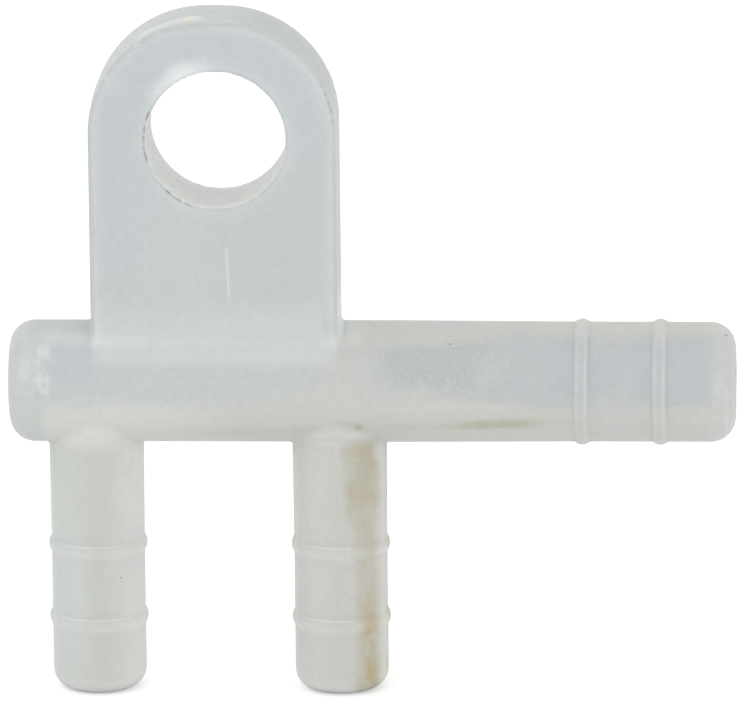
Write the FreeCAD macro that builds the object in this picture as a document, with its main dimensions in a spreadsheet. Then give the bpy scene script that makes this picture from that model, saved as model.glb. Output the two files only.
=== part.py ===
import FreeCAD, Part
import math
import os
import Sketcher

# Hose connector, moulded in one piece of natural plastic.
# A level barrel is closed at its left end and open at its right end, where a hose pushes over two beads.
# Two stubs hang from the barrel, each with two beads for a smaller hose.
# A flat lug with round shoulders and a large hole stands on the barrel and fixes the connector.
# The frame has +X along the barrel to its open end, +Y away from the viewer and +Z up.
# Its origin is the middle of the lug's hole, which is where the part is held.
# The mould parts on the plane through the barrel, the stubs and the middle of the lug.
# All sizes are millimetres.

SIZES = {
    # Fixing lug, centred over the two stubs
    "lug_width": 18.35,
    "lug_thickness": 6.4,
    # Degrees that the lug's sides lean in, from the parting plane to the front and to the back
    "lug_draft": 1.5,
    "lug_edge_chamfer": 0.4,
    "lug_foot_radius": 0.5,
    # The lug's top is two round shoulders with a short flat between them.
    "lug_top_flat": 1.35,
    # Height of the lug's top over the middle of its hole
    "lug_top_height": 8.85,
    # The hole sits a little to the right of the lug's middle.
    "hole_diameter": 10.25,
    "hole_rim_chamfer": 0.2,
    "hole_aside": 0.3,
    # Height of the hole over the barrel's axis
    "hole_height": 19.05,
    # Barrel, with its reaches measured along the axis from the middle between the stubs
    "barrel_diameter": 9.0,
    "barrel_closed_reach": 15.3,
    "barrel_open_reach": 38.3,
    "barrel_end_radius": 1.85,
    # The barrel keeps its full diameter to here, then tapers to its spigot at the inner bead.
    "barrel_taper_start": 13.5,
    "barrel_spigot_diameter": 8.86,
    "barrel_bead_diameter": 9.32,
    "barrel_bead_spacing": 5.75,
    # Distance from the open end to the bead next to it
    "barrel_bead_setback": 5.55,
    "barrel_bore_diameter": 5.0,
    "closed_end_wall": 2.4,
    # Stubs, with their drop measured down from the barrel's axis
    "stub_spacing": 18.0,
    "stub_drop": 23.35,
    # Diameter at the barrel's axis, from where the stub tapers to its spigot at the upper bead
    "stub_root_diameter": 7.05,
    "stub_spigot_diameter": 6.9,
    "stub_end_radius": 1.4,
    "stub_foot_radius": 0.3,
    "stub_bead_diameter": 7.3,
    "stub_bead_spacing": 5.6,
    # Distance from the stub's end to the bead next to it
    "stub_bead_setback": 5.4,
    "stub_bore_diameter": 4.0,
    # Beads: a narrow flat crown between two sloping sides
    "bead_foot_width": 1.15,
    "bead_crown_width": 0.4,
}

# Places that several sketches share, as expressions on the sheet
MIDDLE = "-Sizes.hole_aside"
AXIS = "-Sizes.hole_height"
LEFT_STUB = "-Sizes.hole_aside - Sizes.stub_spacing / 2"
CLOSED_END = "-Sizes.barrel_closed_reach"
OPEN_END = "Sizes.barrel_open_reach"
BORE_FLOOR = "Sizes.closed_end_wall - Sizes.barrel_closed_reach"
BARREL_OUTER_BEAD = "Sizes.barrel_open_reach - Sizes.barrel_bead_setback"
BARREL_INNER_BEAD = BARREL_OUTER_BEAD + " - Sizes.barrel_bead_spacing"
STUB_END = "-Sizes.stub_drop"
STUB_OUTER_BEAD = "Sizes.stub_bead_setback - Sizes.stub_drop"
STUB_INNER_BEAD = STUB_OUTER_BEAD + " + Sizes.stub_bead_spacing"

# Sketcher's numbers for the points of a piece of geometry, and for the sketch's own origin
START = 1
END = 2
CENTRE = 3
ORIGIN = -1

# Slack used only to recognise an edge by its place, and points tried along it
NEAR = 0.02
SAMPLES = 7


def make_sheet(doc):
    """Put each size in a cell of the sheet, under its own alias."""
    sheet = doc.addObject("Spreadsheet::Sheet", "Sizes")
    for row, (alias, value) in enumerate(SIZES.items(), start=1):
        sheet.set(f"A{row}", alias)
        sheet.set(f"B{row}", str(value))
        sheet.setAlias(f"B{row}", alias)
    doc.recompute()
    return sheet


def origin_feature(body, role):
    """Find one of the body's own planes or axes by its role."""
    for feature in body.Origin.OriginFeatures:
        if feature.Role == role:
            return feature
    raise ValueError(f"{body.Label} has no {role}")


def front_sketch(body, name, right="0", up="0"):
    """Add a sketch on the mould's parting plane, with its origin moved right and up."""
    sketch = body.newObject("Sketcher::SketchObject", name)
    sketch.AttachmentSupport = (origin_feature(body, "XZ_Plane"), [""])
    sketch.MapMode = "FlatFace"
    sketch.setExpression("AttachmentOffset.Base.x", right)
    sketch.setExpression("AttachmentOffset.Base.y", up)
    body.Document.recompute()
    return sketch


def number(sketch, expression):
    """Work out an expression on the sheet as a plain number."""
    value = sketch.evalExpression(expression)
    return float(getattr(value, "Value", value))


def spot(sketch, right, up):
    """Give a point of the sketch from two expressions."""
    return FreeCAD.Vector(number(sketch, right), number(sketch, up), 0)


def bind(sketch, expression, kind, *where):
    """Add a dimension and tie it to an expression on the sheet."""
    value = number(sketch, expression)
    index = sketch.addConstraint(Sketcher.Constraint(kind, *where, value))
    if expression != "0":
        sketch.setExpression(f"Constraints[{index}]", expression)


def bind_point(sketch, shape, point, right, up):
    """Tie one point of a shape to its distances from the sketch's origin."""
    bind(sketch, right, "DistanceX", ORIGIN, START, shape, point)
    bind(sketch, up, "DistanceY", ORIGIN, START, shape, point)


def draw_outline(sketch, corners):
    """Draw a closed outline of straight sides through corners given as expressions."""
    points = [spot(sketch, right, up) for right, up in corners]
    sides = []
    for start, end in zip(points, points[1:] + points[:1]):
        sides.append(sketch.addGeometry(Part.LineSegment(start, end), False))
    for side, following in zip(sides, sides[1:] + sides[:1]):
        sketch.addConstraint(Sketcher.Constraint("Coincident", side, END, following, START))
    for side, (right, up) in zip(sides, corners):
        bind_point(sketch, side, START, right, up)
    sketch.Document.recompute()


def bead_outline(place, spigot, crown):
    """Give a bead's four corners, each as two expressions: along the spigot and out from its axis.

    The sides go on as far below the spigot's surface as the crown stands above it.
    """
    top = f"({crown}) / 2"
    below = f"({spigot}) - ({crown}) / 2"
    narrow = "Sizes.bead_crown_width / 2"
    wide = "(Sizes.bead_foot_width - Sizes.bead_crown_width / 2)"
    return [
        (f"{place} - {wide}", below),
        (f"{place} - {narrow}", top),
        (f"{place} + {narrow}", top),
        (f"{place} + {wide}", below),
    ]


def turn(body, kind, name, sketch, axis):
    """Turn a sketch once round its own horizontal or vertical axis."""
    feature = body.newObject(f"PartDesign::{kind}", name)
    feature.Profile = sketch
    feature.ReferenceAxis = (sketch, [axis])
    feature.Angle = 360
    body.Document.recompute()
    return feature


def repeat(body, name, originals):
    """Repeat features once, one stub spacing further along the barrel."""
    pattern = body.newObject("PartDesign::LinearPattern", name)
    pattern.Originals = originals
    pattern.Direction = (origin_feature(body, "X_Axis"), [""])
    pattern.Occurrences = 2
    pattern.setExpression("Length", "Sizes.stub_spacing")
    body.Tip = pattern
    body.Document.recompute()


def check_cut(body, before):
    """Stop if the last feature took nothing away."""
    if body.Shape.Volume >= before:
        raise ValueError(f"{body.Tip.Name} cuts nothing")


def treat_edges(body, kind, name, amount, size, wanted):
    """Fillet or chamfer each edge of the body that the test picks out."""
    base = body.Tip
    numbered = enumerate(base.Shape.Edges, start=1)
    picked = [f"Edge{place}" for place, edge in numbered if wanted(edge)]
    if not picked:
        raise ValueError(f"{name} finds no edge")
    feature = body.newObject(f"PartDesign::{kind}", name)
    feature.Base = (base, picked)
    feature.setExpression(amount, size)
    body.Document.recompute()


def round_edges(body, name, radius, wanted):
    """Round each edge that the test picks out."""
    treat_edges(body, "Fillet", name, "Radius", radius, wanted)


def is_ring(edge, radius, centre):
    """Tell whether an edge is a full circle of this radius round this centre."""
    if edge.Curve.TypeId != "Part::GeomCircle" or not edge.isClosed():
        return False
    same_size = abs(edge.Curve.Radius - radius) < NEAR
    return same_size and edge.Curve.Center.distanceToPoint(FreeCAD.Vector(*centre)) < NEAR


def make_lug(body):
    """The lug is a plate with straight sides and two round shoulders, down to the barrel's axis."""
    outline = front_sketch(body, "LugOutline", MIDDLE)
    half = "Sizes.lug_width / 2"
    flat = "Sizes.lug_top_flat / 2"
    shoulder = "(Sizes.lug_width - Sizes.lug_top_flat) / 2"
    centre_height = f"Sizes.lug_top_height - {shoulder}"
    radius = number(outline, shoulder)
    upwards = FreeCAD.Vector(0, 0, 1)
    right_circle = Part.Circle(spot(outline, flat, centre_height), upwards, radius)
    left_circle = Part.Circle(spot(outline, "-" + flat, centre_height), upwards, radius)
    top_right = spot(outline, flat, "Sizes.lug_top_height")
    top_left = spot(outline, "-" + flat, "Sizes.lug_top_height")
    shoulder_left = spot(outline, "-" + half, centre_height)
    shoulder_right = spot(outline, half, centre_height)
    foot_left = spot(outline, "-" + half, AXIS)
    foot_right = spot(outline, half, AXIS)
    right_arc = outline.addGeometry(Part.ArcOfCircle(right_circle, 0, math.pi / 2), False)
    top = outline.addGeometry(Part.LineSegment(top_right, top_left), False)
    left_arc = outline.addGeometry(Part.ArcOfCircle(left_circle, math.pi / 2, math.pi), False)
    left = outline.addGeometry(Part.LineSegment(shoulder_left, foot_left), False)
    bottom = outline.addGeometry(Part.LineSegment(foot_left, foot_right), False)
    right = outline.addGeometry(Part.LineSegment(foot_right, shoulder_right), False)
    for side, following in ((right_arc, top), (top, left_arc), (left_arc, left), (right, right_arc)):
        outline.addConstraint(Sketcher.Constraint("Tangent", side, END, following, START))
    for side, following in ((left, bottom), (bottom, right)):
        outline.addConstraint(Sketcher.Constraint("Coincident", side, END, following, START))
    for side in (top, bottom):
        outline.addConstraint(Sketcher.Constraint("Horizontal", side))
    for side in (left, right):
        outline.addConstraint(Sketcher.Constraint("Vertical", side))
    outline.addConstraint(Sketcher.Constraint("Equal", right_arc, left_arc))
    bind(outline, shoulder, "Radius", right_arc)
    bind_point(outline, right_arc, CENTRE, flat, centre_height)
    bind(outline, "-" + flat, "DistanceX", ORIGIN, START, left_arc, CENTRE)
    bind(outline, AXIS, "DistanceY", ORIGIN, START, bottom, START)
    body.Document.recompute()
    plate = body.newObject("PartDesign::Pad", "LugPlate")
    plate.Profile = outline
    plate.Midplane = True
    plate.setExpression("Length", "Sizes.lug_thickness")
    plate.setExpression("TaperAngle", "-Sizes.lug_draft")
    body.Document.recompute()


def ease_lug(body, sheet):
    """Chamfer the lug's front and back edges, before the barrel covers its foot."""
    half = sheet.lug_thickness / 2

    def outline_edge(edge):
        box = edge.BoundBox
        on_face = box.YLength < NEAR and abs(abs(box.Center.y) - half) < NEAR
        return on_face and box.ZMax > NEAR - sheet.hole_height

    treat_edges(body, "Chamfer", "LugEdges", "Size", "Sizes.lug_edge_chamfer", outline_edge)


def make_barrel(body):
    """The barrel is a rod with a slight taper to its spigot, which has two beads."""
    outline = front_sketch(body, "BarrelOutline", MIDDLE, AXIS)
    full = "Sizes.barrel_diameter / 2"
    spigot = "Sizes.barrel_spigot_diameter / 2"
    corners = [
        (CLOSED_END, "0"),
        (CLOSED_END, full),
        ("Sizes.barrel_taper_start", full),
        (BARREL_INNER_BEAD, spigot),
        (OPEN_END, spigot),
        (OPEN_END, "0"),
    ]
    draw_outline(outline, corners)
    turn(body, "Revolution", "BarrelRod", outline, "H_Axis")
    beads = front_sketch(body, "BarrelBeads", MIDDLE, AXIS)
    for bead in (BARREL_INNER_BEAD, BARREL_OUTER_BEAD):
        corners = bead_outline(bead, "Sizes.barrel_spigot_diameter", "Sizes.barrel_bead_diameter")
        draw_outline(beads, corners)
    turn(body, "Revolution", "BarrelBeadRings", beads, "H_Axis")


def make_stubs(body):
    """The stubs are alike: a slight taper from the barrel, then a straight spigot with two beads."""
    outline = front_sketch(body, "StubOutline", LEFT_STUB, AXIS)
    spigot = "Sizes.stub_spigot_diameter / 2"
    corners = [
        ("0", "0"),
        ("Sizes.stub_root_diameter / 2", "0"),
        (spigot, STUB_INNER_BEAD),
        (spigot, STUB_END),
        ("0", STUB_END),
    ]
    draw_outline(outline, corners)
    rod = turn(body, "Revolution", "StubRod", outline, "V_Axis")
    beads = front_sketch(body, "StubBeads", LEFT_STUB, AXIS)
    for bead in (STUB_INNER_BEAD, STUB_OUTER_BEAD):
        corners = bead_outline(bead, "Sizes.stub_spigot_diameter", "Sizes.stub_bead_diameter")
        draw_outline(beads, [(out, along) for along, out in corners])
    rings = turn(body, "Revolution", "StubBeadRings", beads, "V_Axis")
    repeat(body, "StubPair", [rod, rings])


def round_outside(body, sheet):
    """Round the feet of the lug and the stubs on the barrel, and the ends of the barrel and the stubs."""
    axis = -sheet.hole_height
    middle = -sheet.hole_aside
    barrel = sheet.barrel_diameter / 2
    barrel_spigot = sheet.barrel_spigot_diameter / 2
    stub_spigot = sheet.stub_spigot_diameter / 2
    closed_end = (middle - sheet.barrel_closed_reach, 0, axis)
    open_end = (middle + sheet.barrel_open_reach, 0, axis)
    lug_reach = sheet.lug_width / 2 + NEAR
    stubs = (middle - sheet.stub_spacing / 2, middle + sheet.stub_spacing / 2)
    stub_end = axis - sheet.stub_drop

    def on_barrel(edge):
        points = edge.discretize(Number=SAMPLES)
        away = [math.hypot(point.y, point.z - axis) for point in points]
        return max(away) - min(away) < NEAR and abs(away[0] - barrel) < NEAR

    def lug_foot(edge):
        box = edge.BoundBox
        under_lug = box.XMin > middle - lug_reach and box.XMax < middle + lug_reach
        return box.ZMin > axis and under_lug and on_barrel(edge)

    def stub_foot(edge):
        box = edge.BoundBox
        under_stub = any(abs(box.Center.x - stub) < NEAR for stub in stubs)
        return box.ZMax < axis and under_stub and box.YLength > stub_spigot and on_barrel(edge)

    def barrel_end(edge):
        return is_ring(edge, barrel, closed_end) or is_ring(edge, barrel_spigot, open_end)

    def stub_tip(edge):
        return any(is_ring(edge, stub_spigot, (stub, 0, stub_end)) for stub in stubs)

    round_edges(body, "LugFoot", "Sizes.lug_foot_radius", lug_foot)
    round_edges(body, "StubFeet", "Sizes.stub_foot_radius", stub_foot)
    round_edges(body, "BarrelEnds", "Sizes.barrel_end_radius", barrel_end)
    round_edges(body, "StubEnds", "Sizes.stub_end_radius", stub_tip)


def make_bores(body):
    """One bore runs along the barrel to the closed end, and each stub's bore opens into it."""
    before = body.Shape.Volume
    outline = front_sketch(body, "BarrelBoreOutline", MIDDLE, AXIS)
    radius = "Sizes.barrel_bore_diameter / 2"
    corners = [(BORE_FLOOR, "0"), (BORE_FLOOR, radius), (OPEN_END, radius), (OPEN_END, "0")]
    draw_outline(outline, corners)
    turn(body, "Groove", "BarrelBore", outline, "H_Axis")
    check_cut(body, before)
    before = body.Shape.Volume
    outline = front_sketch(body, "StubBoreOutline", LEFT_STUB, AXIS)
    radius = "Sizes.stub_bore_diameter / 2"
    corners = [("0", "0"), (radius, "0"), (radius, STUB_END), ("0", STUB_END)]
    draw_outline(outline, corners)
    bore = turn(body, "Groove", "StubBore", outline, "V_Axis")
    check_cut(body, before)
    before = body.Shape.Volume
    repeat(body, "StubBorePair", [bore])
    check_cut(body, before)


def make_hole(body, sheet):
    """The lug's hole goes straight through on the part's origin, with its two rims eased."""
    before = body.Shape.Volume
    outline = front_sketch(body, "HoleOutline")
    radius = "Sizes.hole_diameter / 2"
    circle = Part.Circle(FreeCAD.Vector(), FreeCAD.Vector(0, 0, 1), number(outline, radius))
    rim = outline.addGeometry(circle, False)
    outline.addConstraint(Sketcher.Constraint("Coincident", rim, CENTRE, ORIGIN, START))
    bind(outline, radius, "Radius", rim)
    body.Document.recompute()
    hole = body.newObject("PartDesign::Pocket", "LugHole")
    hole.Profile = outline
    hole.Type = "ThroughAll"
    hole.Midplane = True
    body.Document.recompute()
    check_cut(body, before)
    face = sheet.lug_thickness / 2

    def hole_rim(edge):
        return any(is_ring(edge, sheet.hole_diameter / 2, (0, side, 0)) for side in (-face, face))

    treat_edges(body, "Chamfer", "HoleRims", "Size", "Sizes.hole_rim_chamfer", hole_rim)


def check_document(doc, body):
    """Stop if any object failed or the part isn't one sound solid."""
    for thing in doc.Objects:
        if "Invalid" in thing.State or "Error" in thing.State:
            raise ValueError(f"{thing.Label} failed: {thing.State}")
    shape = body.Shape
    if shape.isNull() or not shape.isValid() or len(shape.Solids) != 1:
        raise ValueError(f"{body.Label} isn't one sound solid")


def main():
    doc = FreeCAD.newDocument("HoseConnector")
    sheet = make_sheet(doc)
    body = doc.addObject("PartDesign::Body", "Connector")
    body.Label = "connector_body"
    body.Placement = FreeCAD.Placement()
    make_lug(body)
    ease_lug(body, sheet)
    make_barrel(body)
    make_stubs(body)
    round_outside(body, sheet)
    make_bores(body)
    make_hole(body, sheet)
    doc.recompute()
    check_document(doc, body)
    os.makedirs("parts", exist_ok=True)
    body.Shape.exportStep(f"parts/{body.Label}.step")
    box = body.Shape.BoundBox
    print(f"{body.Label}: {body.Shape.Volume:.1f} mm3")
    print(f"box {box.XLength:.2f} x {box.YLength:.2f} x {box.ZLength:.2f} mm")


main()
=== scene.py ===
# %% [markdown]
# # A hose connector in milky plastic
#
# The real thing is one moulding: a level barrel, two hanging stubs, small beads that grip a hose, and a
# flat lug with a hole that fixes it. This lesson builds that one piece in two steps. First comes its shape,
# from a rule about distances, and then its cloudy plastic with the stains of use.
#
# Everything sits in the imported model's own frame. Its origin is the middle of the lug's hole, +X runs along
# the barrel to its open end, +Y goes away from the viewer and +Z is up.

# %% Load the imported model
import math

import bpy
import numpy as np
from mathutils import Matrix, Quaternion, Vector
from mathutils.bvhtree import BVHTree


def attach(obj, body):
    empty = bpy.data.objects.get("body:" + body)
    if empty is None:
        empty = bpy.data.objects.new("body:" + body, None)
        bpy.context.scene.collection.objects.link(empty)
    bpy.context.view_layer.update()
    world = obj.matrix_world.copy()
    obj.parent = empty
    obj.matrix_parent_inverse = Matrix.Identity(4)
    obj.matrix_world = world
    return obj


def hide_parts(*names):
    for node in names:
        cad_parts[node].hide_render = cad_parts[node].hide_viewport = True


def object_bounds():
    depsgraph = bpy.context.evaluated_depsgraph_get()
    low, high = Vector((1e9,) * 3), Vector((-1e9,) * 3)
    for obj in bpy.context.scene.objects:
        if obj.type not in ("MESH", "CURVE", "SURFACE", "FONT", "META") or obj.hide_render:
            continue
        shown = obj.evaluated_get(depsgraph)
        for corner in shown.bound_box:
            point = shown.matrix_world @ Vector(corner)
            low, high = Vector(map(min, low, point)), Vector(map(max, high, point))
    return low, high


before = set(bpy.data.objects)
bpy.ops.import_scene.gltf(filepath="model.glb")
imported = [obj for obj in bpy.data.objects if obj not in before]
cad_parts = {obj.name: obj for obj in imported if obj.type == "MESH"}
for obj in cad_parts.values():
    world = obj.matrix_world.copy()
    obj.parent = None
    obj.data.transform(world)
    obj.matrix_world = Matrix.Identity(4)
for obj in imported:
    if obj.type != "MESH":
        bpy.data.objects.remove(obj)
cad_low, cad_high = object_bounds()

print("model runs from", tuple(cad_low), "to", tuple(cad_high))

# %% [markdown]
# ## The camera
#
# The camera comes first, because every later choice is judged through it. The photograph looks down on the
# front by about 15 degrees, from a little to the right, with a long lens. A lens of 647 mm at 1 metre gives
# that flat look: lines that run away from the viewer hardly draw together. The aim point is the place on
# the mould's parting plane that the middle of the picture shows.

# %% Set up the camera
MM = 0.001
AIM = Vector((11.53, 0.0, -16.84)) * MM
AZIMUTH = math.radians(3.02)
ELEVATION = math.radians(14.75)
ROLL = math.radians(-0.63)
DISTANCE = 1000.0 * MM
LENS_MM = 647.2
SENSOR_MM = 36.0
NEAREST_M = 0.01
FURTHEST_M = 20.0


def put_in_scene(name, data):
    """Make an object from its data and link it to the scene."""
    made = bpy.data.objects.new(name, data)
    bpy.context.scene.collection.objects.link(made)
    return made


towards_camera = Vector((
    math.sin(AZIMUTH) * math.cos(ELEVATION),
    -math.cos(AZIMUTH) * math.cos(ELEVATION),
    math.sin(ELEVATION),
))
camera_data = bpy.data.cameras.new("camera")
camera_data.lens = LENS_MM
camera_data.sensor_width = SENSOR_MM
camera_data.clip_start = NEAREST_M
camera_data.clip_end = FURTHEST_M
camera = put_in_scene("camera", camera_data)
camera.location = AIM + towards_camera * DISTANCE
camera.rotation_mode = "QUATERNION"
upright = (-towards_camera).to_track_quat("-Z", "Y")
camera.rotation_quaternion = upright @ Quaternion((0.0, 0.0, 1.0), ROLL)
bpy.context.scene.camera = camera
print("camera at", tuple(round(value, 4) for value in camera.location))

# %% [markdown]
# ## Writing nodes as sums
#
# Both the shape and the plastic are node trees. Wiring them by hand hides the thought behind them, so one
# small class wraps a socket and lets Python's own signs add the Math nodes. After this, `1 - mask` is a
# node tree. Any node that isn't a sum comes from one method, which takes the node's type, its settings and
# the values or links of its sockets.

# %% One class for sockets
class Wire:
    """One socket of a node tree. Sums on it add Math nodes."""

    def __init__(self, tree, socket=None):
        self.tree = tree
        self.socket = socket

    def node(self, kind, settings=None, values=None, output=0):
        """Add a node: its settings first, then the values or links of its sockets."""
        made = self.tree.nodes.new(kind)
        for name, value in (settings or {}).items():
            setattr(made, name, value)
        for key, value in (values or {}).items():
            if isinstance(value, Wire):
                self.tree.links.new(value.socket, made.inputs[key])
            else:
                made.inputs[key].default_value = value
        return Wire(self.tree, made.outputs[output])

    def math(self, operation, *others):
        """Add a Math node whose first value is this wire."""
        return self.node("ShaderNodeMath", {"operation": operation}, dict(enumerate((self, *others))))

    def vector(self, operation, *others):
        """Add a Vector Math node whose first vector is this wire."""
        return self.node("ShaderNodeVectorMath", {"operation": operation}, dict(enumerate((self, *others))))

    def __add__(self, other):
        return self.math("ADD", other)

    def __sub__(self, other):
        return self.math("SUBTRACT", other)

    def __mul__(self, other):
        return self.math("MULTIPLY", other)

    def __truediv__(self, other):
        return self.math("DIVIDE", other)

    def __rsub__(self, other):
        return self.node("ShaderNodeMath", {"operation": "SUBTRACT"}, {0: other, 1: self})

    def __neg__(self):
        return self.math("MULTIPLY", -1.0)

    def __abs__(self):
        return self.math("ABSOLUTE")

    __radd__ = __add__
    __rmul__ = __mul__

    def clamp(self, low=0.0, high=1.0):
        """Keep a value between two limits."""
        return self.math("MAXIMUM", low).math("MINIMUM", high)

    def smooth_step(self, start, end):
        """Rise gently from 0 at start to 1 at end."""
        settings = {"interpolation_type": "SMOOTHSTEP"}
        values = {"Value": self, "From Min": start, "From Max": end}
        return self.node("ShaderNodeMapRange", settings, values)


print("a wire adds nodes for + - * / and abs")


# %% Helpers for vectors and for whole trees
def long_side(across, up):
    """Length of the slanted side over two wires at right angles."""
    return (across * across + up * up).math("SQRT")


def split(point):
    """Take a vector wire apart into its x, y and z."""
    parts = point.node("ShaderNodeSeparateXYZ", values={0: point}).socket.node
    return [Wire(point.tree, parts.outputs[place]) for place in range(3)]


def join(x, y, z, start):
    """Make a vector wire from three wires or numbers."""
    return start.node("ShaderNodeCombineXYZ", values={0: x, 1: y, 2: z})


def clear_tree(owner):
    """Empty the node tree of a material or world, and give a wire to start from."""
    owner.use_nodes = True
    owner.node_tree.nodes.clear()
    return Wire(owner.node_tree)


def show_surface(shader, kind):
    """Link a shader to the output node that ends its tree."""
    sink = shader.tree.nodes.new(kind)
    shader.tree.links.new(shader.socket, sink.inputs["Surface"])


print("helpers for nodes ready")

# %% [markdown]
# ## The sizes
#
# These are the moulding's own sizes in millimetres, in the imported model's frame. They become the named
# inputs of the Geometry Nodes tree. Only the lug's draft is a slope: 0.0262 mm inwards for each millimetre
# of depth, which is 1.5 degrees.

# %% Name the sizes
SIZES = {
    "Middle": -0.3,
    "Barrel axis": -19.05,
    "Barrel radius": 4.5,
    "Barrel spigot radius": 4.43,
    "Barrel taper start": 13.2,
    "Closed end": -15.6,
    "Open end": 38.0,
    "Barrel end rounding": 1.85,
    "Barrel first bead": 26.7,
    "Barrel bead step": 5.75,
    "Barrel bead height": 0.23,
    "Barrel bore radius": 2.5,
    "Barrel bore floor": -13.2,
    "Stub reach": 9.0,
    "Stub end": -42.4,
    "Stub root radius": 3.525,
    "Stub spigot radius": 3.45,
    "Stub end rounding": 1.4,
    "Stub lower bead": -37.0,
    "Stub bead step": 5.6,
    "Stub bead height": 0.2,
    "Stub bore radius": 2.0,
    "Stub foot blend": 0.35,
    "Bead half width": 0.575,
    "Bead foot softness": 0.05,
    "Lug half width": 9.175,
    "Lug top": 8.85,
    "Lug shoulder radius": 8.5,
    "Lug half thickness": 3.2,
    "Lug draft": 0.0262,
    "Lug edge rounding": 0.4,
    "Lug foot blend": 0.6,
    "Hole radius": 5.125,
    "Hole rim easing": 0.22,
    "Bore mouth easing": 0.25,
    "Grid step": 0.26,
    "Bead zone": 1.8,
}
BEADS = 2
print(len(SIZES), "named sizes, and", BEADS, "beads on each spigot")

# %% [markdown]
# ## The shape as a rule about distance
#
# A moulding like this is hard to join from separate tubes: each seam wants a fillet, and cloudy plastic
# shows every wall inside it. So the shape is one rule instead. For any point, the rule gives the distance
# to the surface, negative inside. A rod with rounded ends, a plate with round shoulders and a drilled hole
# each have a short rule. The smooth minimum of two rules is a union with a fillet, and the smooth maximum
# is a cut with an eased edge.
#
# What repeats is folded rather than copied. The absolute value of a coordinate lays one stub on the other,
# and a second fold lays one bead on the next, so each is described only once.

# %% Start a node group with the sizes as its inputs
def size_group(name):
    """Make a Geometry Nodes group whose inputs are the named sizes."""
    tree = bpy.data.node_groups.new(name, "GeometryNodeTree")
    for label, value in SIZES.items():
        socket = tree.interface.new_socket(label, in_out="INPUT", socket_type="NodeSocketFloat")
        socket.default_value = value
    return tree


def group_inputs(tree):
    """Wire up a group's own inputs, by name."""
    source = tree.nodes.new("NodeGroupInput")
    return {socket.name: Wire(tree, socket) for socket in source.outputs if socket.name}


def group_outputs(tree, results):
    """Link wires to a group's outputs, by name."""
    sink = tree.nodes.new("NodeGroupOutput")
    for label, wire in results.items():
        tree.links.new(wire.socket, sink.inputs[label])


print("each group starts with", len(SIZES), "inputs")


# %% Rules for a rod, its beads and a rounded plate
def rounded_corner(across, up, rounding):
    """Distance to a corner with a rounding, from the distances to its two sides."""
    out_across = across + rounding
    out_up = up + rounding
    outside = long_side(out_across.math("MAXIMUM", 0.0), out_up.math("MAXIMUM", 0.0))
    inside = out_across.math("MAXIMUM", out_up).math("MINIMUM", 0.0)
    return outside + inside - rounding


def bead_height(along, first, step, height, size):
    """How far the two beads stand above their rod at a place along it."""
    half_step = step * 0.5
    away = abs(abs(along - first - half_step) - half_step) / size["Bead half width"]
    arch = height * (1 - away * away)
    return arch.math("SMOOTH_MAX", 0.0, size["Bead foot softness"])


def taper(share, root, tip):
    """Run evenly from the radius at the root to the radius at the tip."""
    return root + (tip - root) * share


def rod(along, away, low, high, radius, rounding):
    """Distance to a rod between two places along its axis."""
    half = (high - low) * 0.5
    past_end = abs(along - (low + half)) - half
    return rounded_corner(past_end, away - radius, rounding)


print("rules for a rod, two beads and a rounded corner ready")


# %% Barrel, stubs and lug
def barrel_rule(x, y, z, size):
    """The barrel tapers a little from its root to its spigot, which has two beads."""
    first = size["Barrel first bead"]
    share = ((x - size["Barrel taper start"]) / (first - size["Barrel taper start"])).clamp()
    radius = taper(share, size["Barrel radius"], size["Barrel spigot radius"])
    beads = bead_height(x, first, size["Barrel bead step"], size["Barrel bead height"], size)
    away = long_side(y, z - size["Barrel axis"])
    rounding = size["Barrel end rounding"]
    return rod(x, away, size["Closed end"], size["Open end"], radius + beads, rounding)


def stub_rule(folded, y, z, size):
    """One stub; the fold at the middle makes it two."""
    upper_bead = size["Stub lower bead"] + size["Stub bead step"]
    share = ((size["Barrel axis"] - z) / (size["Barrel axis"] - upper_bead)).clamp()
    radius = taper(share, size["Stub root radius"], size["Stub spigot radius"])
    lower_bead = size["Stub lower bead"]
    beads = bead_height(z, lower_bead, size["Stub bead step"], size["Stub bead height"], size)
    away = long_side(folded, y)
    rounding = size["Stub end rounding"]
    return rod(z, away, size["Stub end"], size["Barrel axis"], radius + beads, rounding)


def lug_rule(aside, y, z, size):
    """A plate with round shoulders, whose sides lean in from the parting plane by the mould's draft."""
    past_side = abs(aside) - size["Lug half width"]
    outline = rounded_corner(past_side, z - size["Lug top"], size["Lug shoulder radius"])
    foot = size["Barrel axis"] - z
    drafted = outline.math("MAXIMUM", foot) + abs(y) * size["Lug draft"]
    return rounded_corner(drafted, abs(y) - size["Lug half thickness"], size["Lug edge rounding"])


print("rules for the barrel, the stubs and the lug ready")


# %% The whole moulding in one group
distance_tree = size_group("Distance to the moulding")
distance_tree.interface.new_socket("Point", in_out="INPUT", socket_type="NodeSocketVector")
distance_tree.interface.new_socket("Distance", in_out="OUTPUT", socket_type="NodeSocketFloat")
size = group_inputs(distance_tree)
x, y, z = split(size["Point"])
aside = x - size["Middle"]
folded = abs(aside) - size["Stub reach"]
outside = barrel_rule(x, y, z, size)
outside = outside.math("SMOOTH_MIN", stub_rule(folded, y, z, size), size["Stub foot blend"])
outside = outside.math("SMOOTH_MIN", lug_rule(aside, y, z, size), size["Lug foot blend"])
hole = long_side(x, z) - size["Hole radius"]
drilled = outside.math("SMOOTH_MAX", -hole, size["Hole rim easing"])
barrel_bore = long_side(y, z - size["Barrel axis"]) - size["Barrel bore radius"]
barrel_bore = barrel_bore.math("MAXIMUM", size["Barrel bore floor"] - x)
stub_bore = long_side(folded, y) - size["Stub bore radius"]
stub_bore = stub_bore.math("MAXIMUM", z - size["Barrel axis"])
bores = barrel_bore.math("MINIMUM", stub_bore)
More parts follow.
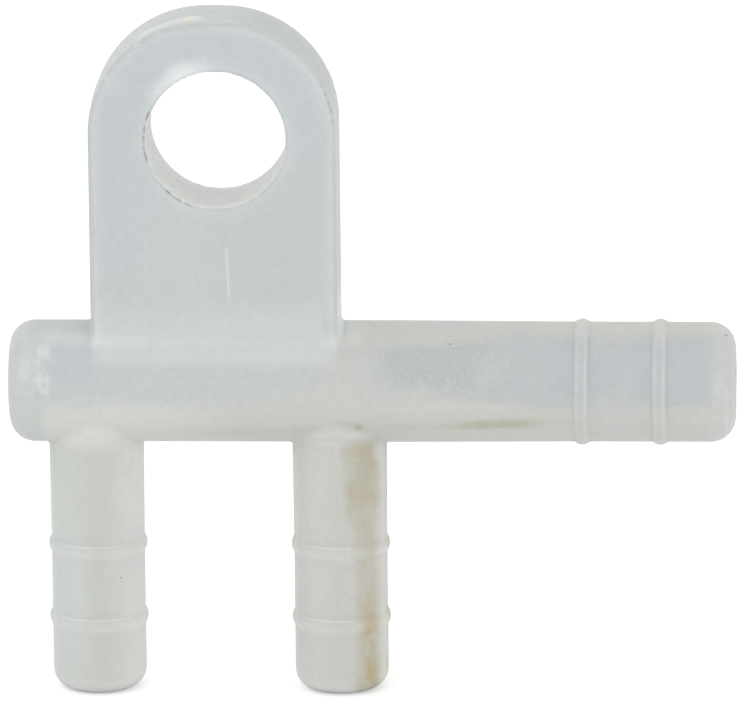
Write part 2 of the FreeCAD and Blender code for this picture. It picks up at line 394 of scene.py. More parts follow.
moulding = drilled.math("SMOOTH_MAX", -bores, size["Bore mouth easing"])
group_outputs(distance_tree, {"Distance": moulding})
print("distance rule:", len(distance_tree.nodes), "nodes")

# %% [markdown]
# ## From the rule to a mesh
#
# Volume Cube fills a grid with the rule, and Volume to Mesh draws the surface where it is zero. The beads
# are narrower than five grid steps, so the grid is stretched there: the rule is read at a squeezed place,
# and the finished points go back to it. That gives the beads twice as many rows for very few more faces.
# Three Newton steps then put each point on the true surface, and the rule's slope is kept as the normal.

# %% Squeeze the grid at the beads
FINER = 2.0


def squeeze(along, first, step, size):
    """Turn a place on the stretched grid into the real one, finer round two beads."""
    # The second zone starts later, by what the first has added.
    zone = size["Bead zone"]
    lower = (along - (first - zone * 0.5)).clamp(0.0, zone * FINER)
    upper = (along - (first + step + zone * (FINER - 1.5))).clamp(0.0, zone * FINER)
    return along - (lower + upper) * (1 - 1 / FINER)


def real_place(point, size):
    """Squeeze the grid along X at the barrel's beads and along Z at the stubs' beads."""
    x, y, z = split(point)
    real_x = squeeze(x, size["Barrel first bead"], size["Barrel bead step"], size)
    real_z = squeeze(z, size["Stub lower bead"], size["Stub bead step"], size)
    return join(real_x, y, real_z, point)


print("the grid is", FINER, "times finer at the beads")

# %% Start the tree that makes the moulding
shape_tree = size_group("Moulding")
shape_tree.interface.new_socket("Material", in_out="INPUT", socket_type="NodeSocketMaterial")
shape_tree.interface.new_socket("Geometry", in_out="OUTPUT", socket_type="NodeSocketGeometry")
size = group_inputs(shape_tree)
start = Wire(shape_tree)
place = start.node("GeometryNodeInputPosition")


def measure(point):
    """Read the distance rule at a point."""
    sizes_and_point = {label: size[label] for label in SIZES}
    sizes_and_point["Point"] = point
    return start.node("GeometryNodeGroup", {"node_tree": distance_tree}, sizes_and_point)


def change(kind, geometry, values, settings=None):
    """Add a node that changes the geometry."""
    return start.node(kind, settings, {"Geometry": geometry, **values})


print("shape tree has", len(shape_tree.interface.items_tree), "sockets")

# %% Draw the surface where the rule is zero
MARGIN = 0.8

# The stretched grid is longer by what the beads' zones have grown.
grown = size["Bead zone"] * (BEADS * (FINER - 1))
bead_radius = size["Barrel spigot radius"] + size["Barrel bead height"]
low = [size["Closed end"], -bead_radius, size["Stub end"]]
high = [size["Open end"] + grown, bead_radius, size["Lug top"] + grown]
low = [value - MARGIN for value in low]
high = [value + MARGIN for value in high]
grid = {
    "Density": -measure(real_place(place, size)),
    "Background": -1.0,
    "Min": join(*low, start),
    "Max": join(*high, start),
}
for letter, bottom, top in zip("XYZ", low, high):
    grid[f"Resolution {letter}"] = ((top - bottom) / size["Grid step"]).math("CEIL")
cube = start.node("GeometryNodeVolumeCube", values=grid)
surface = start.node("GeometryNodeVolumeToMesh", values={"Volume": cube, "Threshold": 0.0})
surface = change("GeometryNodeSetPosition", surface, {"Position": real_place(place, size)})
print("surface drawn with", len(shape_tree.nodes), "nodes")

# %% Put the points on the true surface
PROBE = 0.02
NEWTON_STEPS = 3

slopes = []
for axis in range(3):
    nudge = [0.0, 0.0, 0.0]
    nudge[axis] = PROBE
    ahead = measure(place.vector("ADD", tuple(nudge)))
    behind = measure(place.vector("SUBTRACT", tuple(nudge)))
    slopes.append((ahead - behind) / (2 * PROBE))
slope = join(*slopes, start)
steepness = sum((value * value for value in slopes[1:]), slopes[0] * slopes[0])
step_length = -measure(place) / steepness
step = slope.node("ShaderNodeVectorMath", {"operation": "SCALE"}, {0: slope, "Scale": step_length})
for _ in range(NEWTON_STEPS):
    surface = change("GeometryNodeSetPosition", surface, {"Offset": step})
print("each point takes", NEWTON_STEPS, "steps to the surface")

# %% Keep the slope, and finish the mesh
keep = {"data_type": "FLOAT_VECTOR", "domain": "POINT"}
outward = {"Name": "outward", "Value": slope.vector("NORMALIZE")}
surface = change("GeometryNodeStoreNamedAttribute", surface, outward, keep)
surface = change("GeometryNodeTransform", surface, {"Scale": (MM, MM, MM)})
surface = change("GeometryNodeSetShadeSmooth", surface, {"Shade Smooth": True})
surface = change("GeometryNodeRealizeInstances", surface, {})
surface = change("GeometryNodeSetMaterial", surface, {"Material": size["Material"]})
group_outputs(shape_tree, {"Geometry": surface})
print("shape tree:", len(shape_tree.nodes), "nodes")

# %% [markdown]
# ## Reading a place on the part
#
# The plastic isn't one colour. It is bluer in the middle of the lug and along the barrel's passage, creamy
# where light comes out of an edge, and brown where old fluid has dried inside the right stub. An image
# could hold all that, but it would blur up close and need unwrapping. Masks do it better here: each is a
# number from 0 to 1, worked out from the object's own coordinates in millimetres, so the marks stay put in
# every view.
#
# Two helpers make nearly all masks. `band(x, 9.6, 1.2, 2.4)` is 1 near x = 9.6 mm, for 1.2 mm to each side,
# and fades out over the next 2.4 mm. `z.smooth_step(4.5, 1.0)` rises from 0 at z = 4.5 mm to 1 at 1.0 mm.

# %% Start the material and read the place
MM_PER_METRE = 1 / MM

plastic = bpy.data.materials.new("natural_plastic")
paint = clear_tree(plastic)
in_metres = paint.node("ShaderNodeTexCoord", output="Object")
point = in_metres.vector("MULTIPLY", (MM_PER_METRE, MM_PER_METRE, MM_PER_METRE))
x, y, z = split(point)
aside = x - SIZES["Middle"]
over_axis = z - SIZES["Barrel axis"]
from_stub = abs(aside) - SIZES["Stub reach"]
from_hole = long_side(x, z)
past_side = abs(aside) - SIZES["Lug half width"]
lug_outline = rounded_corner(past_side, z - SIZES["Lug top"], SIZES["Lug shoulder radius"])
inside_lug = -lug_outline
print("reading", MM_PER_METRE, "mm to the metre, nodes so far", len(plastic.node_tree.nodes))


# %% Helpers for clouds, bands and spots
def cloud(scale, detail=2.0, stretch=(1.0, 1.0, 1.0), warp=0.0):
    """Soft noise from 0 to 1; scale is in features per millimetre."""
    stretched = point.vector("MULTIPLY", stretch)
    values = {"Vector": stretched, "Scale": scale, "Detail": detail, "Distortion": warp}
    return paint.node("ShaderNodeTexNoise", values=values)


def band(value, centre, half, softness):
    """1 near a value and 0 away from it, with soft edges."""
    return 1 - abs(value - centre).smooth_step(half, half + softness)


def spot(place, radius, softness):
    """1 round a place and 0 away from it."""
    ends = {0: point, 1: place}
    away = paint.node("ShaderNodeVectorMath", {"operation": "DISTANCE"}, ends, output="Value")
    return 1 - away.smooth_step(radius, radius + softness)


def tone(red, green, blue):
    """A colour as it shows on a screen, from 0 to 255, as the linear numbers that nodes use.

    The numbers in it are those of the usual curve of a screen.
    """
    shown = [value / 255 for value in (red, green, blue)]
    return tuple([v / 12.92 if v < 0.04045 else ((v + 0.055) / 1.055) ** 2.4 for v in shown] + [1.0])


def mix(base, other, share):
    """Mix two colours by a mask."""
    settings = {"data_type": "RGBA", "blend_type": "MIX"}
    return paint.node("ShaderNodeMix", settings, {"Factor": share, 6: base, 7: other}, output=2)


def count_nodes(step):
    """Say how far the plastic's tree has grown."""
    print(step, "ready, tree so far", len(plastic.node_tree.nodes), "nodes")


count_nodes("places and helpers")

# %% The regions of the moulding
front = y.smooth_step(0.4, -0.4)
on_lug = z.smooth_step(-15.6, -14.4)
on_stubs = z.smooth_step(-22.6, -24.0)
on_barrel = (1 - on_lug) * (1 - on_stubs)
on_left = aside.smooth_step(0.5, -0.5)
on_right = 1 - on_left
on_face = abs(y).smooth_step(2.6, 3.1)
in_hole = from_hole.smooth_step(5.24, 5.12)
count_nodes("regions")

# %% The clouds that bend every border
drift = cloud(0.11, 2.0)
mottle = cloud(0.45, 3.0)
ripple = cloud(0.9, 3.0, (0.35, 1.0, 1.6))
grain = cloud(2.6, 3.0)
patchy = cloud(1.9, 3.0).smooth_step(0.44, 0.6)
curls = abs(cloud(1.5, 2.0, warp=1.8) - 0.5).smooth_step(0.07, 0.0)
wobble = mottle - 0.5
fine_wobble = ripple - 0.5
count_nodes("clouds")

# %% [markdown]
# ## Cloudy body colour
#
# Natural polypropylene is nearly white in a thin sheet and blue-grey where it is thick, because its fine
# crystals scatter blue light first. The real connector shows it as a cool lug and a cool band along the
# barrel, between warm, paler edges. Each tone below is a colour on the screen, and each mask says where it
# goes. A few of them are painted light and shade where the lamps leave a place too dark or too bright,
# and a comment marks each. Clouds of noise bend the borders, so no border runs straight.

# %% Tones of the lug
LUG_SIDE = tone(203, 208, 206)
LUG_SIDE_SHADE = tone(193, 197, 198)
LUG_SIDE_FOOT_LIGHT = tone(228, 231, 228)
LUG_COOL = tone(200, 205, 207)
LUG_BLUE = tone(200, 206, 209)
LUG_GREY = tone(201, 205, 204)
LUG_MILKY = tone(206, 210, 210)
LUG_FOOT = tone(208, 213, 210)
LUG_LEFT_EDGE_SHADE = tone(190, 195, 194)
LUG_RIGHT_EDGE = tone(201, 206, 204)
LUG_ROUNDING_SHADE = tone(184, 189, 188)
HOLE_LIT_CREAM = tone(223, 225, 222)
HOLE_SHADE = tone(207, 209, 207)
print("the lug's cool face in linear numbers:", [round(value, 3) for value in LUG_COOL])

# %% Faces of the lug
face_colour = mix(LUG_COOL, LUG_BLUE, (z + drift * 4).smooth_step(2.0, 6.5))
low_right = (x * 0.25 - z * 0.4 + wobble * 2).smooth_step(1.6, 3.4)
face_colour = mix(face_colour, LUG_GREY, low_right)
milky_patch = band(x, -3.2, 1.0, 3.6) * band(z, -8.5, 1.5, 4.5) * (0.4 + 0.6 * drift)
face_colour = mix(face_colour, LUG_MILKY, milky_patch * 0.6)
face_colour = mix(face_colour, LUG_FOOT, (z + wobble * 1.5).smooth_step(-11.2, -14.4))
# Painted shade: a darker strip along the lug's left edge; on the right the strip is wider low down and keeps
# nearly the face's own tone.
edge_width = 0.3 + on_right * z.smooth_step(4.5, 1.0) * 0.75
near_edge = (inside_lug - edge_width + wobble * 0.5).smooth_step(0.35, -0.2)
face_colour = mix(face_colour, mix(LUG_RIGHT_EDGE, LUG_LEFT_EDGE_SHADE, on_left), near_edge)
# Painted shade: the roundings of the lug's edges and of the hole's rim are darkened where the lamps catch
# them too brightly.
rim_rounding = from_hole.smooth_step(5.5, 5.25)
shaded_rounding = inside_lug.smooth_step(0.55, 0.15).math("MAXIMUM", rim_rounding)
face_colour = mix(face_colour, LUG_ROUNDING_SHADE, shaded_rounding * 0.75)
count_nodes("lug's faces")

# %% Sides of the lug, and the hole
side_shade = aside.smooth_step(0.5, 3.5) * z.smooth_step(1.5, 4.0)
side_colour = mix(LUG_SIDE, LUG_SIDE_SHADE, side_shade)
# Painted light: the foot of the lug's sides is lifted almost to white, against the shade in the corner where
# they meet the barrel.
side_foot_light = band(aside, 9.1, 0.2, 0.25) * z.smooth_step(-10.5, -13.5)
side_colour = mix(side_colour, LUG_SIDE_FOOT_LIGHT, side_foot_light)
lug_colour = mix(side_colour, face_colour, on_face)
# Painted light: the hole's wall is a pale cream against its shade, with darker patches.
lug_colour = mix(lug_colour, mix(HOLE_LIT_CREAM, HOLE_SHADE, patchy * 0.4), in_hole)
count_nodes("lug")

# %% Tones of the barrel
BARREL_LEFT = tone(200, 204, 204)
BARREL_RIGHT = mix(tone(188, 192, 193), tone(192, 196, 198), x.smooth_step(17.0, 23.0))
# Painted light: the barrel's top and its low edge are paler at the left end, the top most, beside the lug.
BARREL_TOP_LIT_LEFT = mix(tone(221, 224, 222), tone(204, 204, 199), x.smooth_step(-8.0, 8.0))
BARREL_LOW_LIT_LEFT = mix(tone(214, 216, 211), tone(205, 206, 201), x.smooth_step(-8.0, 4.0))
BARREL_LIGHT_PATCH = tone(200, 203, 202)
BARREL_BLUE_PATCH = tone(194, 200, 205)
BARREL_CLOSED_END = tone(198, 203, 202)
BARREL_OPEN_END = tone(203, 205, 203)
BARREL_LOW_GLINT = tone(217, 218, 213)
BARREL_SCRATCH = tone(182, 187, 187)
FOOT_HIGHLIGHT = tone(218, 222, 219)
CORNER_LIGHT = tone(230, 233, 231)
count_nodes("barrel's tones")

# %% The cool band along the barrel, between warm edges that are painted paler at the left
wavy_height = over_axis + fine_wobble * 1.1
past_lug = x.smooth_step(4.0, 13.0)
band_top = 3.5 + x.smooth_step(16.0, 22.0) * 0.45
band_low = -0.65 + band(x, 11.5, 3.0, 9.0) * 1.2
cool_band = (wavy_height - band_low).smooth_step(-1.1, 1.0)
cool_band = cool_band * (wavy_height - band_top).smooth_step(0.45, -0.45)
cool_band = cool_band * (1 - 0.65 * band(x, 9.6, 1.2, 2.4))
barrel_colour = mix(BARREL_LOW_LIT_LEFT, BARREL_TOP_LIT_LEFT, over_axis.smooth_step(2.2, 3.8))
barrel_colour = mix(barrel_colour, mix(BARREL_LEFT, BARREL_RIGHT, past_lug), cool_band)
count_nodes("barrel's bands")

# %% Patches and ends of the barrel, with painted light round the lug's foot and along the low edge
light_patch = cloud(0.22, 2.0, (1.0, 1.0, 0.5)).smooth_step(0.5, 0.66) * past_lug
blue_patch = band(x, -10.6, 1.0, 1.6) * band(over_axis, 2.3, 0.6, 1.5)
closed_end = x.smooth_step(-12.2, -13.8)
open_end = x.smooth_step(35.6, 37.2)
# Painted highlight: a pale band on the barrel just under the lug, where the fillet catches the light.
under_lug_highlight = band(over_axis, 3.3, 0.3, 1.3) * band(aside, 0.0, 8.0, 1.6)
# Painted light: the corners beside the lug's foot are lifted against the shade that gathers there.
lug_corner_light = abs(lug_outline).smooth_step(2.6, 0.0) * over_axis.smooth_step(3.0, 4.1)
lug_corner_light = lug_corner_light * z.smooth_step(-13.8, -14.4)
# Painted highlight: a thin pale line along the front of the barrel's low edge.
low_glint = band(over_axis, -3.95, 0.03, 0.14) * front * (0.3 + 0.7 * mottle)
scratches = cloud(3.6, 3.0, (0.28, 1.0, 1.0)).smooth_step(0.54, 0.68)
barrel_colour = mix(barrel_colour, BARREL_LIGHT_PATCH, light_patch * 0.5)
barrel_colour = mix(barrel_colour, BARREL_BLUE_PATCH, blue_patch * 0.7)
barrel_colour = mix(barrel_colour, BARREL_CLOSED_END, closed_end * 0.8)
barrel_colour = mix(barrel_colour, BARREL_OPEN_END, open_end * 0.7)
barrel_colour = mix(barrel_colour, FOOT_HIGHLIGHT, under_lug_highlight * (0.5 + 0.4 * mottle))
barrel_colour = mix(barrel_colour, CORNER_LIGHT, lug_corner_light * 0.6)
barrel_colour = mix(barrel_colour, BARREL_LOW_GLINT, low_glint * 0.6)
barrel_colour = mix(barrel_colour, BARREL_SCRATCH, scratches * cool_band * (1 - under_lug_highlight) * 0.22)
lug_share = (z + wobble * 0.8).smooth_step(-15.9, -14.3) * aside.smooth_step(10.0, 9.5)
colour = mix(barrel_colour, lug_colour, lug_share)
count_nodes("barrel")

# %% Tones of the stubs
STUB_LEFT_FLANK_LIT = mix(tone(208, 210, 205), tone(206, 210, 204), on_left)
STUB_MIDDLE = tone(203, 204, 199)
STUB_RIGHT_FLANK_LIT = mix(tone(216, 216, 209), tone(223, 225, 221), on_left)
STUB_TIP = tone(207, 211, 211)
STUB_END_LIGHT = tone(222, 224, 222)
STUB_BEAD_SHADE = tone(192, 194, 190)
STUB_BEAD_LIGHT = tone(226, 228, 223)
count_nodes("stubs' tones")

# %% Stubs
across_stub = from_stub * (on_right - on_left)
bent_across = across_stub + wobble * 0.9
# Painted light: both flanks of each stub are paler than its middle, the right flank most.
stub_colour = mix(STUB_MIDDLE, STUB_LEFT_FLANK_LIT, bent_across.smooth_step(0.3, -2.6))
stub_colour = mix(stub_colour, STUB_RIGHT_FLANK_LIT, bent_across.smooth_step(0.6, 3.4))
tip_share = z.smooth_step(-28.5, -33.0) * abs(across_stub).smooth_step(0.0, 1.6)
stub_colour = mix(stub_colour, STUB_TIP, tip_share * drift.smooth_step(0.3, 0.7) * on_left)
# Painted light: the stubs' rounded ends are lifted against the shade they take from above.
stub_colour = mix(stub_colour, STUB_END_LIGHT, z.smooth_step(-40.9, -42.2) * 0.8)
# Painted shade on the upper flank of each stub bead and painted light on its lower flank, evening out how the
# lamps shade it.
for bead in range(BEADS):
    over_bead = z - SIZES["Stub lower bead"] - bead * SIZES["Stub bead step"]
    stub_colour = mix(stub_colour, STUB_BEAD_SHADE, band(over_bead, 0.3, 0.1, 0.3) * 0.3)
    stub_colour = mix(stub_colour, STUB_BEAD_LIGHT, band(over_bead, -0.45, 0.1, 0.3) * 0.3)
colour = mix(colour, stub_colour, on_stubs)
count_nodes("stubs")

# %% [markdown]
# ## Light that gathers at edges
#
# Light wanders through milky plastic and comes out where the wall turns: at the feet of the beads, along
# the saddles where a stub meets the barrel, and at the rim of the hole. Tracing that light truly would need
# a volume and very long renders. Thin pale lines at the same places read the same way, as long as they are
# weak and broken.

# %% Pale lines at the barrel's beads, and painted shade on their crests
GLINT = tone(220, 223, 219)
BEAD_CREST_SHADE = tone(182, 186, 187)
LINE_FROM_BEAD = 0.35

broken = 0.25 + 0.9 * mottle
barrel_lines = 0.0
for bead in range(BEADS):
    bead_place = SIZES["Barrel first bead"] + bead * SIZES["Barrel bead step"]
    faint = band(x, bead_place - LINE_FROM_BEAD, 0.01, 0.13) * 0.35
    clear = band(x, bead_place + LINE_FROM_BEAD, 0.02, 0.12) * 0.5
    barrel_lines = faint + clear + barrel_lines
    # Painted shade: each bead's crest is darkened between its two pale lines.
    crest_shade = band(x, bead_place, 0.12, 0.16) * on_barrel
    colour = mix(colour, BEAD_CREST_SHADE, crest_shade * 0.35)
barrel_lines = barrel_lines * on_barrel * over_axis.smooth_step(-3.6, -0.4)
count_nodes("barrel's lines")

# %% Pale lines at the stubs' beads and flanks
STUB_LINE = 0.45

half_step = SIZES["Stub bead step"] / 2
from_bead = abs(z - SIZES["Stub lower bead"] - half_step - STUB_LINE) - half_step
bead_lines = band(from_bead, 0.0, 0.01, 0.11) * on_stubs * abs(from_stub).smooth_step(3.5, 2.2)
flank_lines = band(abs(from_stub), 3.2, 0.03, 0.12) * on_stubs
stub_lines = bead_lines * 0.85 + flank_lines * 0.35
colour = mix(colour, GLINT, ((barrel_lines + stub_lines) * broken).clamp())
count_nodes("stubs' lines")

# %% Pale saddles where the stubs meet the barrel, and the open end
SADDLE_PALE = tone(230, 232, 227)

off_barrel = abs(long_side(y, over_axis) - SIZES["Barrel radius"])
off_stub = abs(long_side(from_stub, y) - SIZES["Stub root radius"])
saddle = off_barrel.math("MAXIMUM", off_stub)
under_axis = over_axis.smooth_step(0.0, -1.0)
saddle_glow = band(saddle, 0.0, 0.02, 0.5) * under_axis
saddle_line = band(saddle, 0.05, 0.02, 0.12) * under_axis
end_line = band(x, 37.35, 0.02, 0.14) * band(over_axis, -1.6, 1.4, 1.6) * mottle.smooth_step(0.3, 0.55)
colour = mix(colour, SADDLE_PALE, saddle_glow * (0.3 + 0.25 * mottle))
colour = mix(colour, GLINT, saddle_line * broken * 0.5)
colour = mix(colour, GLINT, end_line * 0.45)
count_nodes("saddles")

# %% Glow at the hole and on the lug's top
# One white serves the painted glow and highlight, and also the real scratches and weld line.
GLOW_AND_MARK_WHITE = tone(226, 231, 231)
YELLOW_GLOW = tone(234, 234, 206)

rim_glow = band(from_hole, 5.2, 0.35, 1.1) * band(x, -2.6, 0.9, 2.6) * z.smooth_step(1.2, 4.2) * on_face
glow = (rim_glow * 0.65 + spot((-2.6, -3.2, 5.2), 0.3, 1.2) * 0.35).clamp()
# Painted highlight: a white streak along the front of the lug's top, yellow at one spot.
top_line = y + 1.6 + fine_wobble * 0.7
top_highlight = band(top_line, 0.0, 0.3, 0.6) * band(x, -3.2, 1.9, 0.9) * z.smooth_step(6.8, 7.4)
colour = mix(colour, GLOW_AND_MARK_WHITE, glow)
colour = mix(colour, GLOW_AND_MARK_WHITE, top_highlight * 0.8)
colour = mix(colour, YELLOW_GLOW, top_highlight * band(x, -1.95, 0.1, 0.5) * 0.9)
count_nodes("glow")

# %% Fine scratches round the lug's edge
edge_scratches = cloud(1.5, 4.0, (0.45, 1.3, 0.8)).smooth_step(0.48, 0.72)
edge_scratches = edge_scratches * inside_lug.smooth_step(0.45, 0.2) * (1 - on_face * 0.5)
edge_scratches = edge_scratches * z.smooth_step(0.5, 4.0)
top_front = band(x, -3.0, 5.0, 2.0) * y.smooth_step(1.5, -1.0)
colour = mix(colour, GLOW_AND_MARK_WHITE, edge_scratches * (0.15 + 0.5 * top_front))
count_nodes("scratches")

# %% Painted highlight at the closed end, and mottled marks
END_HIGHLIGHT = tone(224, 230, 227)
CURL_PALE = tone(202, 206, 205)
WELD_X = 0.41
WELD_LEAN = 0.036
WELD_Z = -10.15

# Painted highlight: a mottled white patch on the barrel's rounded closed end.
end_highlight = band(x, -12.85, 0.2, 0.45) * 0.8 + band(x, -13.9, 0.4, 0.8) * 0.4
end_highlight = end_highlight * band(over_axis, 1.7, 1.3, 1.0) * cloud(1.1, 4.0).smooth_step(0.34, 0.62) * front
weld = band(x + z * WELD_LEAN, WELD_X, 0.04, 0.12) * band(z, WELD_Z, 1.7, 0.5) * on_face * front
curly_patch = curls * (band(x, 16.2, 3.4, 5.0) * band(over_axis, 1.7, 1.5, 1.5))
colour = mix(colour, END_HIGHLIGHT, end_highlight.clamp() * 0.7)
colour = mix(colour, GLOW_AND_MARK_WHITE, weld * 0.55)
colour = mix(colour, CURL_PALE, curly_patch * 0.5)
count_nodes("mottled marks")

# %% [markdown]
# ## Stains and scuffs of use
#
# Dried fluid has left a brown stain along the right side of the right stub's passage, strongest at its
# mouth, and a faint olive streak low on the barrel. A hook or screw has scuffed the hole's rim, and a few
# dark specks sit in the plastic. A stain looks real when its strength is uneven along its run and its
# colour shifts from grey to brown where it is thickest.

# %% Where the stain lies in the right stub
STAIN_X = 10.62
STAIN_LEAN = 0.25
STAIN_TOP = -23.0
STAIN_LENGTH = 19.0

in_stub = z.smooth_step(-22.2, -23.6) * on_right
down_stub = (STAIN_TOP - z) / STAIN_LENGTH
stain_wander = cloud(0.35, 2.0, (0.3, 0.3, 1.0)) - 0.5
from_line = x - (STAIN_X + STAIN_LEAN * down_stub + stain_wander * 0.9)
high_part = band(z, -25.6, 2.0, 2.4)
low_part = z.smooth_step(-34.0, -38.5)
stain_cloud = cloud(0.6, 3.0, (1.0, 0.6, 0.6)).smooth_step(0.28, 0.66)
thick_cloud = cloud(0.8, 3.0, (1.0, 0.6, 0.5)).smooth_step(0.38, 0.62)
count_nodes("place of the stain")

# %% Brown stain inside the right stub
STAIN_GREY = tone(188, 183, 167)
STAIN_BROWN = tone(187, 172, 133)
ROOT_BROWN = tone(174, 167, 149)

stain_strength = 0.56 + 0.34 * high_part + 0.3 * low_part
stain = band(from_line + 0.3 * high_part, 0.0, 0.4 + 0.25 * high_part, 0.9)
stain = stain * (0.6 + 0.5 * stain_cloud) * stain_strength
seen_from_side = band(y, 0.0, 0.5, 0.8) * from_stub.smooth_step(2.6, 3.0) * on_right
stain = stain.math("MAXIMUM", seen_from_side * stain_cloud * 0.7)
thick = band(from_line, 0.15, 0.2, 0.6) * thick_cloud
thick = thick * (0.22 * high_part + 0.18 + 0.65 * low_part) * in_stub
root_spot = spot((10.3, -3.7, -21.6), 0.1, 0.45)
root_smear = band(x, 9.4, 0.4, 0.7) * band(over_axis, -2.2, 0.05, 0.3) * front * mottle
colour = mix(colour, STAIN_GREY, (stain * in_stub).clamp())
colour = mix(colour, STAIN_BROWN, thick.clamp())
colour = mix(colour, ROOT_BROWN, (root_spot * 0.85 + root_smear * 0.7).clamp() * 0.8)
count_nodes("stain")

# %% Streak along the barrel
STREAK = tone(181, 182, 162)
PALE_BESIDE_STREAK = tone(209, 210, 204)
STREAK_UNDER_AXIS = 2.25
STREAK_MIDDLE = 21.0
STREAK_RISE = 0.04

over_streak = over_axis + STREAK_UNDER_AXIS - (x - STREAK_MIDDLE) * STREAK_RISE + fine_wobble * 0.3
streak_half = 0.02 + 0.1 * band(x, 21.2, 0.8, 3.0)
streak = 1 - abs(over_streak).smooth_step(streak_half, streak_half + 0.55)
streak_strength = 0.62 * band(x, 20.5, 0.8, 3.6) + 0.22 * band(x, 12.0, 11.0, 6.0)
beside_streak = band(over_streak, 1.45, 0.05, 0.45) * band(x, 15.5, 5.0, 4.0) * front
colour = mix(colour, STREAK, streak * streak_strength * (0.45 + 0.9 * mottle) * front)
colour = mix(colour, PALE_BESIDE_STREAK, beside_streak * 0.5)
count_nodes("streak")

# %% Scuffs at the hole and the shoulder, and painted shade at the hole's back rim
SCUFF = tone(128, 128, 122)
BACK_RIM_SHADE = tone(176, 178, 175)

rim_line = band(from_hole, 5.27, 0.03, 0.1) * front * on_face
left_scuff = rim_line * x.smooth_step(-4.5, -4.9) * band(z, 0.2, 1.7, 0.5) * patchy
low_scuff = rim_line * band(x, -3.3, 1.1, 0.6) * z.smooth_step(-3.0, -3.6) * patchy
shoulder_scuff = band(inside_lug, 0.12, 0.04, 0.12) * y.smooth_step(-2.75, -2.95)
shoulder_scuff = shoulder_scuff * band(z, 2.2, 1.7, 0.5) * on_right * patchy
back_rim = band(from_hole, 5.13, 0.05, 0.1) * y.smooth_step(2.7, 2.95) * x.smooth_step(1.0, -2.5)
colour = mix(colour, SCUFF, (left_scuff * 0.75 + low_scuff * 0.6).clamp())
colour = mix(colour, SCUFF, shoulder_scuff * 0.6)
colour = mix(colour, BACK_RIM_SHADE, back_rim * (1 - 0.5 * patchy) * 0.7)
count_nodes("scuffs")

# %% Dark specks in the plastic
SPECK_RADIUS_AT = {
    (17.06, -2.75, -15.49): 0.13,
    (11.45, -0.8, -14.62): 0.1,
    (17.5, -0.6, -14.6): 0.08,
    (37.33, -1.1, -15.2): 0.2,
    (-7.42, -2.92, -33.39): 0.1,
}

for place, radius in SPECK_RADIUS_AT.items():
    colour = mix(colour, SCUFF, spot(place, radius * 0.4, radius * 0.6) * 0.85)
print(len(SPECK_RADIUS_AT), "specks")

# %% [markdown]
# ## The surface itself
#
# The mould leaves a soft sheen, faint ripples and a fine line all round where its two halves met. The
# ripples go through a Bump node, because they are far too shallow to model. Light also travels a little way
# inside the plastic, which the shader's subsurface values give.

# %% Parting line and fine grain
PARTING_SHADE = tone(180, 184, 182)
GRAIN_SHADE = tone(188, 190, 187)
GRAIN_PALE = tone(218, 222, 220)

parting = band(y, 0.0, 0.02, 0.06) * (1 - in_hole) * (0.4 + 0.6 * ripple.smooth_step(0.35, 0.6))
colour = mix(colour, PARTING_SHADE, parting * 0.5)
colour = mix(colour, GRAIN_SHADE, (grain - 0.5).clamp() * 0.7)
colour = mix(colour, GRAIN_PALE, (0.5 - grain).clamp() * 0.7)
count_nodes("grain")

# %% The shader
FINISH = {
    "IOR": 1.49,
    "Subsurface Weight": 0.8,
    "Subsurface Radius": (1.0, 0.95, 0.85),
    "Subsurface Scale": 0.0018,
}
RIPPLE_DEPTH = 0.00004
RIPPLE_STRENGTH = 0.35
SMOOTHEST = 0.3
ROUGHER_BY = 0.16

relief = mottle * 0.5 + grain * 0.25 + ripple * 0.5 + parting * 0.6 + curly_patch * 0.4
bump_values = {"Strength": RIPPLE_STRENGTH, "Distance": RIPPLE_DEPTH, "Height": relief}
bump = paint.node("ShaderNodeBump", values=bump_values)
roughness = SMOOTHEST + ROUGHER_BY * mottle
varied = {"Base Color": colour, "Roughness": roughness, "Normal": bump}
shader = paint.node("ShaderNodeBsdfPrincipled", values={**FINISH, **varied})
show_surface(shader, "ShaderNodeOutputMaterial")
count_nodes("plastic")

# %% [markdown]
# ## The finished piece
#
# A modifier shows its result only while Blender evaluates it. Taking that result as a plain mesh fixes it,
# so every later step sees the same faces. The mesh then keeps the rule's slope as its normals, which shade
# it more smoothly than its faces could.

# %% Turn the tree's result into a plain mesh
carrier = put_in_scene("carrier", bpy.data.meshes.new("carrier"))
modifier = carrier.modifiers.new("moulding", "NODES")
modifier.node_group = shape_tree
for item in shape_tree.interface.items_tree:
    if item.item_type == "SOCKET" and item.in_out == "INPUT":
        modifier[item.identifier] = plastic if item.name == "Material" else SIZES[item.name]
evaluated = carrier.evaluated_get(bpy.context.evaluated_depsgraph_get())
mesh = bpy.data.meshes.new_from_object(evaluated)
mesh.name = "connector_moulding"
bpy.data.objects.remove(carrier)
print("moulding:", len(mesh.vertices), "points,", len(mesh.polygons), "faces")

# %% Keep the rule's own normals, and stay inside the model's box
count = len(mesh.vertices)
places = np.empty(count * 3)
mesh.vertices.foreach_get("co", places)
places = np.clip(places.reshape(-1, 3), np.array(cad_low), np.array(cad_high))
mesh.vertices.foreach_set("co", places.ravel())
normals = np.empty(count * 3, np.float32)
mesh.attributes["outward"].data.foreach_get("vector", normals)
mesh.attributes.remove(mesh.attributes["outward"])
mesh.normals_split_custom_set_from_vertices(normals.reshape(-1, 3))
mesh.update()
print("visual mesh kept between", places.min(axis=0), "and", places.max(axis=0))

# %% Measure how far the mesh lies from the CAD surface
SAMPLE_EVERY = 9

